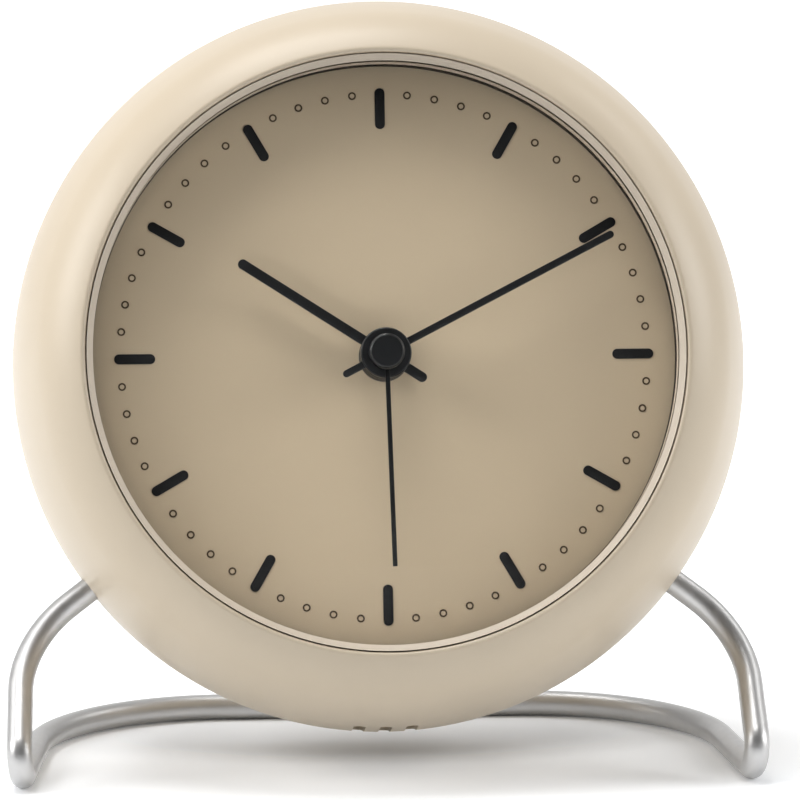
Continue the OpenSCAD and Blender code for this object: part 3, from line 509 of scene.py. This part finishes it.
# Second hand: a thin square-ended bar under a turned cap with a bevelled rim
second = {"angle": 178.7, "low": 6.8, "reach": 32, "width": 0.7, "cap": 2.65, "bevel": 0.35, "high": 1.5,
          "edge": 0.07}
low = dialTop + second["low"]
clearSelection()
bpy.ops.mesh.primitive_plane_add(size=second["width"], location=(0, second["width"] / 2, low))
blade = bpy.context.object
bpy.ops.object.transform_apply(location=True, rotation=True, scale=True)
blade.data.transform(Matrix.Scale(second["reach"] / second["width"], 4, (0, 1, 0)))
raised(blade, handT)
softened(blade, edge, 2)
collar = second["cap"] - second["bevel"]
seat = turned("secondSeat", [(0, low), (collar, low), (collar, low + handT), (0, low + handT)],
              rounds["hub"])
secondHand = joined([blade, seat], "secondHand")
placed(secondHand, dialFrame, second["angle"])
smooth(secondHand)
finished(secondHand, "seconds", "hands", finishes["hands"], "second_hand")
capLow, capTop = low + handT, low + handT + second["high"]
cap = turned("hubCap", [(0, capLow), (second["cap"], capLow), (second["cap"], capTop - second["bevel"]),
                        (collar, capTop), (0, capTop)], rounds["cap"])
softened(cap, second["edge"], angle=25)
placed(cap, dialFrame)
smooth(cap, 25)
finished(cap, "seconds", "hands", finishes["hands"], "hub_cap")

# Round nut that holds the movement to the dial
nut = {"bore": 3.2, "high": 1.5, "bevel": 0.3}
nutTop = dialTop + nut["high"]
nutProfile = [(nut["bore"], dialTop), (hubR, dialTop), (hubR, nutTop - nut["bevel"]),
              (hubR - nut["bevel"], nutTop), (nut["bore"], nutTop)]
dialNut = turnedRing("dialNut", nutProfile, rounds["hub"])
placed(dialNut, dialFrame)
smooth(dialNut, 25)
finished(dialNut, "clock", "hands", finishes["hands"], "dial_nut")
print("hands and nut made")


# A place on the dial's plane, in mm from the middle of the table
def inWorld(x, y):
    return (dialFrame @ Vector((x, y, 0))) / mm


# Stand: one wire, pushed straight and spun round its bends to the middle, then mirrored
entryTurn = math.radians(-wire["entry"])
start = inWorld(wire["inside"] * math.cos(entryTurn), wire["inside"] * math.sin(entryTurn))
route = [
    (inWorld(wire["corner"] * math.cos(entryTurn), wire["corner"] * math.sin(entryTurn)), wire["bend"]),
    (Vector((*wire["foot"], wire["r"])), wire["footBend"]),
    (Vector((*wire["rear"], wire["r"])), wire["rearBend"]),
    (Vector((0, wire["rear"][1], wire["r"])), 0),
]
clearSelection()
bpy.ops.mesh.primitive_circle_add(vertices=wire["sides"], radius=wire["r"])
stand = bpy.context.object
stand.name = "standWire"
stand.data.transform(Matrix.Translation(start)
                     @ (route[0][0] - start).to_track_quat("Z", "Y").to_matrix().to_4x4())
bpy.ops.object.mode_set(mode="EDIT")
bpy.ops.mesh.select_all(action="SELECT")
reached = start
for i, (corner, bendR) in enumerate(route):
    ahead = (corner - reached).normalized()
    if bendR:
        after = (route[i + 1][0] - corner).normalized()
        angle = ahead.angle(after)
        toBend = bendR * math.tan(angle / 2)
        axis = ahead.cross(after).normalized()
        pivot = corner - ahead * toBend + axis.cross(ahead) * bendR
        straight = corner - ahead * toBend - reached
    else:
        straight = corner - reached
    pushes = max(1, round(straight.length / wire["push"]))
    for push in range(pushes):
        bpy.ops.mesh.extrude_region_move(TRANSFORM_OT_translate={"value": straight / pushes})
    if bendR:
        spins = max(wire["leastSteps"], round(math.degrees(angle) / wire["spinStep"]))
        bpy.ops.mesh.spin(steps=spins, angle=-angle, center=pivot, axis=axis)
        reached = corner + after * toBend
bpy.ops.object.mode_set(mode="OBJECT")
addModifier(stand, "MIRROR", use_axis=(True, False, False), use_clip=True,
            merge_threshold=wire["seam"])
bpy.ops.object.mode_set(mode="EDIT")
bpy.ops.mesh.select_all(action="SELECT")
bpy.ops.mesh.remove_doubles(threshold=weld)
bpy.ops.mesh.fill_holes(sides=0)
bpy.ops.mesh.select_all(action="SELECT")
bpy.ops.mesh.normals_make_consistent(inside=False)
bpy.ops.object.mode_set(mode="OBJECT")
print("wire spans", [round(v, 2) for v in stand.dimensions])
placed(stand, worldFrame)
smooth(stand)
finished(stand, "clock", "wire", finishes["wire"], "stand_wire")

# Back cover: the front's rim mirrored, a flat floor and a lap that slips inside the shell
cover = {"floor": 2, "lap": 2.6, "lapFit": 0.1}
coverOut, coverIn = -lip[1], cover["floor"] - lip[1]
lapR = case["flank"][0] + math.sqrt(insideR ** 2 - case["parting"] ** 2) - cover["lapFit"]
lapIn = lapR - case["wall"] / 2
lapLow, lapEnd = case["parting"] - cover["lap"], case["parting"] + cover["lap"]
lowTurn = -math.degrees(math.asin(lapLow / insideR))
floorTurn = math.degrees(math.asin((-shoulder[1] - coverIn) / shoulderInR))
under = (shoulder[0], -shoulder[1])
coverProfile = (
    [(0, coverOut)]
    + arcPoints((lip[0], -lip[1]), case["lipR"], -180, -case["shoulderTurn"], 16)
    + arcPoints(under, case["shoulderR"], -case["shoulderTurn"], -case["flankTurn"], 20)[1:]
    + arcPoints(case["flank"], case["flankR"], -case["flankTurn"], partingTurn, 8)[1:]
    + [(lapR, case["parting"]), (lapR, lapEnd), (lapIn, lapEnd), (lapIn, lapLow)]
    + arcPoints(case["flank"], insideR, -lowTurn, -case["flankTurn"], 4)
    + arcPoints(under, shoulderInR, -case["flankTurn"], -floorTurn, 10)[1:]
    + [(0, coverIn)]
)
backCover = turned("backCover", coverProfile, rounds["case"])

# What is on the back: door, screws, knobs and switch, each with its opening in the cover
door = {"half": (27, 8.4), "corner": 2, "at": (0, -17), "fit": 0.15, "grip": (10, 1.2), "deep": 0.6,
        "pitch": 2.4, "edge": 0.25}
screw = {"at": ((29.5, 20), (-29.5, 20), (17, -31.5), (-17, -31.5)), "r": 1, "headR": 2.3, "head": 1.3,
         "sunk": 0.15, "end": 9.7, "tip": 0.4, "round": 0.6, "slot": 0.46, "slotDeep": 0.65, "hole": 0.15}

# The stems stand where the wheels inside put them: each a distance and a turn, to a thousandth of a mm
wheels = {"motion": (8.4, 110), "time": (8.4, 180), "alarm": (11.4, 35)}
timeAt = onArc(onArc((0, 0), *wheels["motion"]), *wheels["time"])
alarmAt = onArc((0, 0), *wheels["alarm"])
stems = {"time": (round(timeAt[0], 3), round(timeAt[1], 3)),
         "alarm": (round(alarmAt[0], 3), round(alarmAt[1], 3))}
knob = {"r": 5.6, "high": 3.6, "gap": 0.3, "stem": 0.9, "bore": 1.85, "press": 0.025,
        "flutes": 24, "fluteR": 0.47, "fluteAt": 5.95, "plain": 0.7, "rim": 0.45}
switch = {"at": (-2, 31), "travel": 4, "stem": (2, 1.3), "pad": (3, 2.2), "padHigh": 1.6, "corner": 0.5,
          "edge": 0.2, "flange": (6.5, 3.5), "flangeHigh": 1, "gap": 0.2, "overlap": 0.05, "rib": 0.25,
          "ribs": (-1.5, 0, 1.5)}

past = 1.0
outside, inside = coverOut - past, coverIn + past
openings = [pin(screw["r"] + screw["hole"], outside, inside, at) for at in screw["at"]]
openings += [pin(screw["headR"] + screw["hole"], outside, coverOut + screw["head"], at) for at in screw["at"]]
openings += [pin(knob["stem"] + screw["hole"], outside, inside, at) for at in stems.values()]
doorway = [half + door["fit"] for half in door["half"]]
openings.append(slab("doorway", doorway, outside, inside, door["corner"] + door["fit"], door["at"]))
switchway = (switch["stem"][0] + switch["travel"] / 2 + 2 * door["fit"], switch["stem"][1] + door["fit"])
openings.append(slab("switchway", switchway, outside, inside, 0, (0, switch["at"][1])))
cut(backCover, *openings)
placed(backCover, dialFrame)
smooth(backCover)
finished(backCover, "clock", "case", finishes["case"], "back_cover")

doorPiece = slab("doorPiece", door["half"], coverOut, coverIn, door["corner"], door["at"])
softened(doorPiece, door["edge"])
grips = []
for step in (-1, 0, 1):
    grip = bar("grip", outside, coverOut + door["deep"], -door["grip"][0] / 2, door["grip"][0] / 2,
               door["grip"][1])
    grip.data.transform(Matrix.Translation((0, door["at"][1] + step * door["pitch"], 0))
                        @ Matrix.Rotation(math.radians(90), 4, "Z"))
    grips.append(grip)
cut(doorPiece, *grips)
placed(doorPiece, dialFrame)
smooth(doorPiece)
finished(doorPiece, "battery_door", "case", finishes["case"], "battery_door")

headLow, headTop = coverOut + screw["sunk"], coverOut + screw["head"]
screwEnd = coverOut + screw["end"]
screwProfile = (
    [(0, headLow)]
    + arcPoints((screw["headR"] - screw["round"], headLow + screw["round"]), screw["round"], -90, 0, 6)
    + [(screw["headR"], headTop), (screw["r"], headTop), (screw["r"], screwEnd - screw["tip"]),
       (screw["r"] - screw["tip"], screwEnd), (0, screwEnd)]
)
oneScrew = turned("screw", screwProfile, rounds["screw"])
cross = ((screw["headR"] / 2, screw["slot"] / 2), (screw["slot"] / 2, screw["headR"] / 2))
cut(oneScrew, *[slab("slot", half, outside, coverOut + screw["slotDeep"]) for half in cross])
screws = [copied(oneScrew, "screw", Matrix.Translation((*at, 0))) for at in screw["at"]]
bpy.data.objects.remove(oneScrew)
coverScrews = joined(screws, "coverScrews")
placed(coverScrews, dialFrame)
smooth(coverScrews)
finished(coverScrews, "clock", "stems", finishes["steel"], "cover_screws")
print("back cover, door and screws made")

knobTop = coverOut - knob["gap"]
knobLow = knobTop - knob["high"]
boreR, boreEnd = knob["stem"] + knob["press"], coverOut - knob["bore"]
knobProfile = (
    [(0, knobLow)]
    + arcPoints((knob["r"] - knob["rim"], knobLow + knob["rim"]), knob["rim"], -90, 0, 6)
    + [(knob["r"], knobTop), (boreR, knobTop), (boreR, boreEnd), (0, boreEnd)]
)
oneKnob = turned("knob", knobProfile, rounds["knob"])
flute = pin(knob["fluteR"], knobLow - past, knobTop - knob["plain"], (0, knob["fluteAt"]))
cut(oneKnob, roundTheDial(flute, [360 * i / knob["flutes"] for i in range(knob["flutes"])], "flutes"))
for bodyName, at in stems.items():
    twin = copied(oneKnob, bodyName + "Knob", Matrix.Translation((*at, 0)))
    placed(twin, dialFrame)
    smooth(twin)
    finished(twin, bodyName + "_setter", "controls", finishes["black"], bodyName + "_knob")
bpy.data.objects.remove(oneKnob)

padTop, flangeLow = coverOut - switch["gap"], coverIn + switch["gap"]
padLow = padTop - switch["padHigh"]
pad = slab("pad", switch["pad"], padLow, padTop, switch["corner"], switch["at"])
softened(pad, switch["edge"])
groove = (switch["rib"], 3 * switch["pad"][1])
cut(pad, *[slab("groove", groove, padLow - past, padLow + switch["rib"], 0,
                (switch["at"][0] + x, switch["at"][1])) for x in switch["ribs"]])
neck = slab("neck", switch["stem"], padTop - switch["overlap"], flangeLow + switch["overlap"], 0,
            switch["at"])
flange = slab("flange", switch["flange"], flangeLow, flangeLow + switch["flangeHigh"], 0, switch["at"])
switchPiece = joined([pad, neck, flange], "switchPiece")
placed(switchPiece, dialFrame)
smooth(switchPiece)
finished(switchPiece, "alarm_switch", "controls", finishes["black"], "alarm_switch")
print("knobs and switch made")


# One step of arithmetic on two values, each a number or a socket
def worked(made, links, operation, one, other):
    step = made.new("ShaderNodeMath")
    step.operation = operation
    for value, socket in ((one, step.inputs[0]), (other, step.inputs[1])):
        if isinstance(value, (int, float)):
            socket.default_value = value
        else:
            links.new(value, socket)
    return step.outputs[0]


# Rays from the camera, also through glass, and those that a mirror sends on before any matte bounce
def raysThatSee(made, links):
    path = made.new("ShaderNodeLightPath")
    firstBounce = 0.5  # depths are whole numbers
    direct = worked(made, links, "LESS_THAN", path.outputs["Diffuse Depth"], firstBounce)
    plain = worked(made, links, "LESS_THAN", path.outputs["Glossy Depth"], firstBounce)
    through = worked(made, links, "MULTIPLY", path.outputs["Is Transmission Ray"],
                     worked(made, links, "MULTIPLY", direct, plain))
    mirrored = worked(made, links, "MULTIPLY", path.outputs["Is Glossy Ray"], direct)
    return worked(made, links, "MAXIMUM", path.outputs["Is Camera Ray"], through), mirrored


# Stage: a pale floor that keeps the shadow and clears to white away from the clock; the clearing is painted
# light, a glow that only the camera and mirrors see, none right under the clock and rising in front of it and
# further off
stage = {"size": 30.0, "pale": (0.87, 0.885, 0.905, 1), "roughness": 0.9, "middle": (0, 0.012, 0),
         "squash": (0.45, 1, 1)}
# Distance from the middle in metres, and the painted light added there to the floor as it is seen
paintedFloorLight = ((0.014, 0.0), (0.024, 0.28), (0.05, 0.26), (0.2, 0.44), (0.55, 0.6))
clearSelection()
bpy.ops.mesh.primitive_plane_add(size=stage["size"], location=(0, 0, 0))
floor = bpy.context.object
floor.name = "floor"
floorMaterial, made, links = newMaterial("paleFloor")
made["Principled BSDF"].inputs["Base Color"].default_value = stage["pale"]
made["Principled BSDF"].inputs["Roughness"].default_value = stage["roughness"]
seen, mirrored = raysThatSee(made, links)
spot = made.new("ShaderNodeTexCoord")
shift = made.new("ShaderNodeVectorMath")
shift.operation = "SUBTRACT"
shift.inputs[1].default_value = stage["middle"]
squash = made.new("ShaderNodeVectorMath")
squash.operation = "MULTIPLY"
squash.inputs[1].default_value = stage["squash"]
away = made.new("ShaderNodeVectorMath")
away.operation = "LENGTH"
paintedFloorLightRamp = made.new("ShaderNodeValToRGB")
stops, farthest = paintedFloorLightRamp.color_ramp.elements, paintedFloorLight[-1][0]
for number, (distance, bright) in enumerate(paintedFloorLight):
    if number == 0:
        stop = stops[0]
    elif number == len(paintedFloorLight) - 1:
        stop = stops[-1]
    else:
        stop = stops.new(distance / farthest)
    stop.position = distance / farthest
    stop.color = (bright, bright, bright, 1)
# Painted light on the floor, seen only from the camera and in mirrors
paintedFloorGlow = made.new("ShaderNodeEmission")
paintedFloorGlow.inputs["Color"].default_value = (1, 1, 1, 1)
both = made.new("ShaderNodeAddShader")
links.new(spot.outputs["Object"], shift.inputs[0])
links.new(shift.outputs[0], squash.inputs[0])
links.new(squash.outputs[0], away.inputs[0])
links.new(worked(made, links, "DIVIDE", away.outputs["Value"], farthest), paintedFloorLightRamp.inputs[0])
looking = worked(made, links, "MAXIMUM", seen, mirrored)
links.new(worked(made, links, "MULTIPLY", looking, paintedFloorLightRamp.outputs["Color"]), paintedFloorGlow.inputs["Strength"])
links.new(made["Principled BSDF"].outputs[0], both.inputs[0])
links.new(paintedFloorGlow.outputs[0], both.inputs[1])
links.new(both.outputs[0], made["Material Output"].inputs["Surface"])
floor.data.materials.append(floorMaterial)

# Room: bright behind, and in front bright only low down, as a pale studio wall is
room = {"white": 1.0, "backdrop": (0.6, 0.95), "behind": 0.45, "low": 0.3, "high": 0.1, "rise": 0.4,
        "turn": 0.35}
world = bpy.data.worlds.new("studio")
bpy.context.scene.world = world
world.use_nodes = True
sky, skyLinks = world.node_tree.nodes, world.node_tree.links
back = sky["Background"]
back.inputs["Color"].default_value = (1, 1, 1, 1)
way = sky.new("ShaderNodeTexCoord")
parts = sky.new("ShaderNodeSeparateXYZ")
height = sky.new("ShaderNodeMapRange")
height.inputs["From Max"].default_value = room["rise"]
height.inputs["To Min"].default_value = room["low"]
height.inputs["To Max"].default_value = room["high"]
side = sky.new("ShaderNodeMapRange")
side.inputs["From Min"].default_value = -room["turn"]
side.inputs["From Max"].default_value = room["turn"]
walls = sky.new("ShaderNodeMix")  # its sockets: 0 the share, 2 and 3 the two values
walls.inputs[3].default_value = room["behind"]
seen, mirrored = raysThatSee(sky, skyLinks)
backdrop = sky.new("ShaderNodeMapRange")
backdrop.inputs["From Min"].default_value, backdrop.inputs["From Max"].default_value = room["backdrop"]
level = sky.new("ShaderNodeMix")
level.inputs[3].default_value = room["white"]
skyLinks.new(way.outputs["Generated"], parts.inputs[0])
skyLinks.new(parts.outputs["Z"], height.inputs["Value"])
skyLinks.new(parts.outputs["Y"], side.inputs["Value"])
skyLinks.new(side.outputs["Result"], walls.inputs[0])
skyLinks.new(height.outputs["Result"], walls.inputs[2])
skyLinks.new(walls.outputs[0], level.inputs[2])
skyLinks.new(parts.outputs["Y"], backdrop.inputs["Value"])
shown = worked(sky, skyLinks, "MULTIPLY", mirrored, backdrop.outputs["Result"])
skyLinks.new(worked(sky, skyLinks, "MAXIMUM", seen, shown), level.inputs[0])
skyLinks.new(level.outputs[0], back.inputs["Strength"])

# Softboxes that graze the dial from the left, from above and from the right, and a faint one at the rear
lamps = {
    "left": {"at": (-0.85, -0.11, 0.5), "size": (0.5, 0.5), "power": 5.5},
    "top": {"at": (-0.2, 0.05, 1.1), "size": (0.6, 0.6), "power": 8.2},
    "right": {"at": (0.85, -0.15, 0.38), "size": (0.4, 0.4), "power": 3.3},
    "rear": {"at": (0.75, 0.31, 0.8), "size": (0.3, 0.3), "power": 1.0},
}
aim = Vector((0, 0, 0.06))
for lampName, lamp in lamps.items():
    light = bpy.data.lights.new(lampName, "AREA")
    light.shape = "RECTANGLE"
    light.size, light.size_y = lamp["size"]
    light.energy = lamp["power"]
    holder = bpy.data.objects.new(lampName, light)
    bpy.context.scene.collection.objects.link(holder)
    holder.location = lamp["at"]
    holder.rotation_euler = (aim - holder.location).to_track_quat("-Z", "Y").to_euler()

# Camera matched to the photo, with a long lens
camera = {"azimuth": -3.5, "elevation": 11.0, "distance": 1.85, "lens": 553.4, "sensor": 36,
          "clip": (0.1, 20), "right": 3.256, "down": 5.074}
turn, rise = math.radians(camera["azimuth"]), math.radians(camera["elevation"])
outward = Vector((math.sin(turn) * math.cos(rise), -math.cos(turn) * math.cos(rise), math.sin(rise)))
rightward = Vector((math.cos(turn), math.sin(turn), 0))
upward = outward.cross(rightward)
middle = Vector((0, 0, pose["height"] * mm))
target = middle + rightward * camera["right"] * mm - upward * camera["down"] * mm
lens = bpy.data.cameras.new("photoView")
lens.lens = camera["lens"]
lens.sensor_width = camera["sensor"]
lens.clip_start, lens.clip_end = camera["clip"]
eye = bpy.data.objects.new("photoView", lens)
bpy.context.scene.collection.objects.link(eye)
eye.location = target + outward * camera["distance"]
eye.rotation_euler = outward.to_track_quat("Z", "Y").to_euler()
bpy.context.scene.camera = eye
bpy.context.scene.view_settings.view_transform = "Standard"
print("stage, lights and camera set")
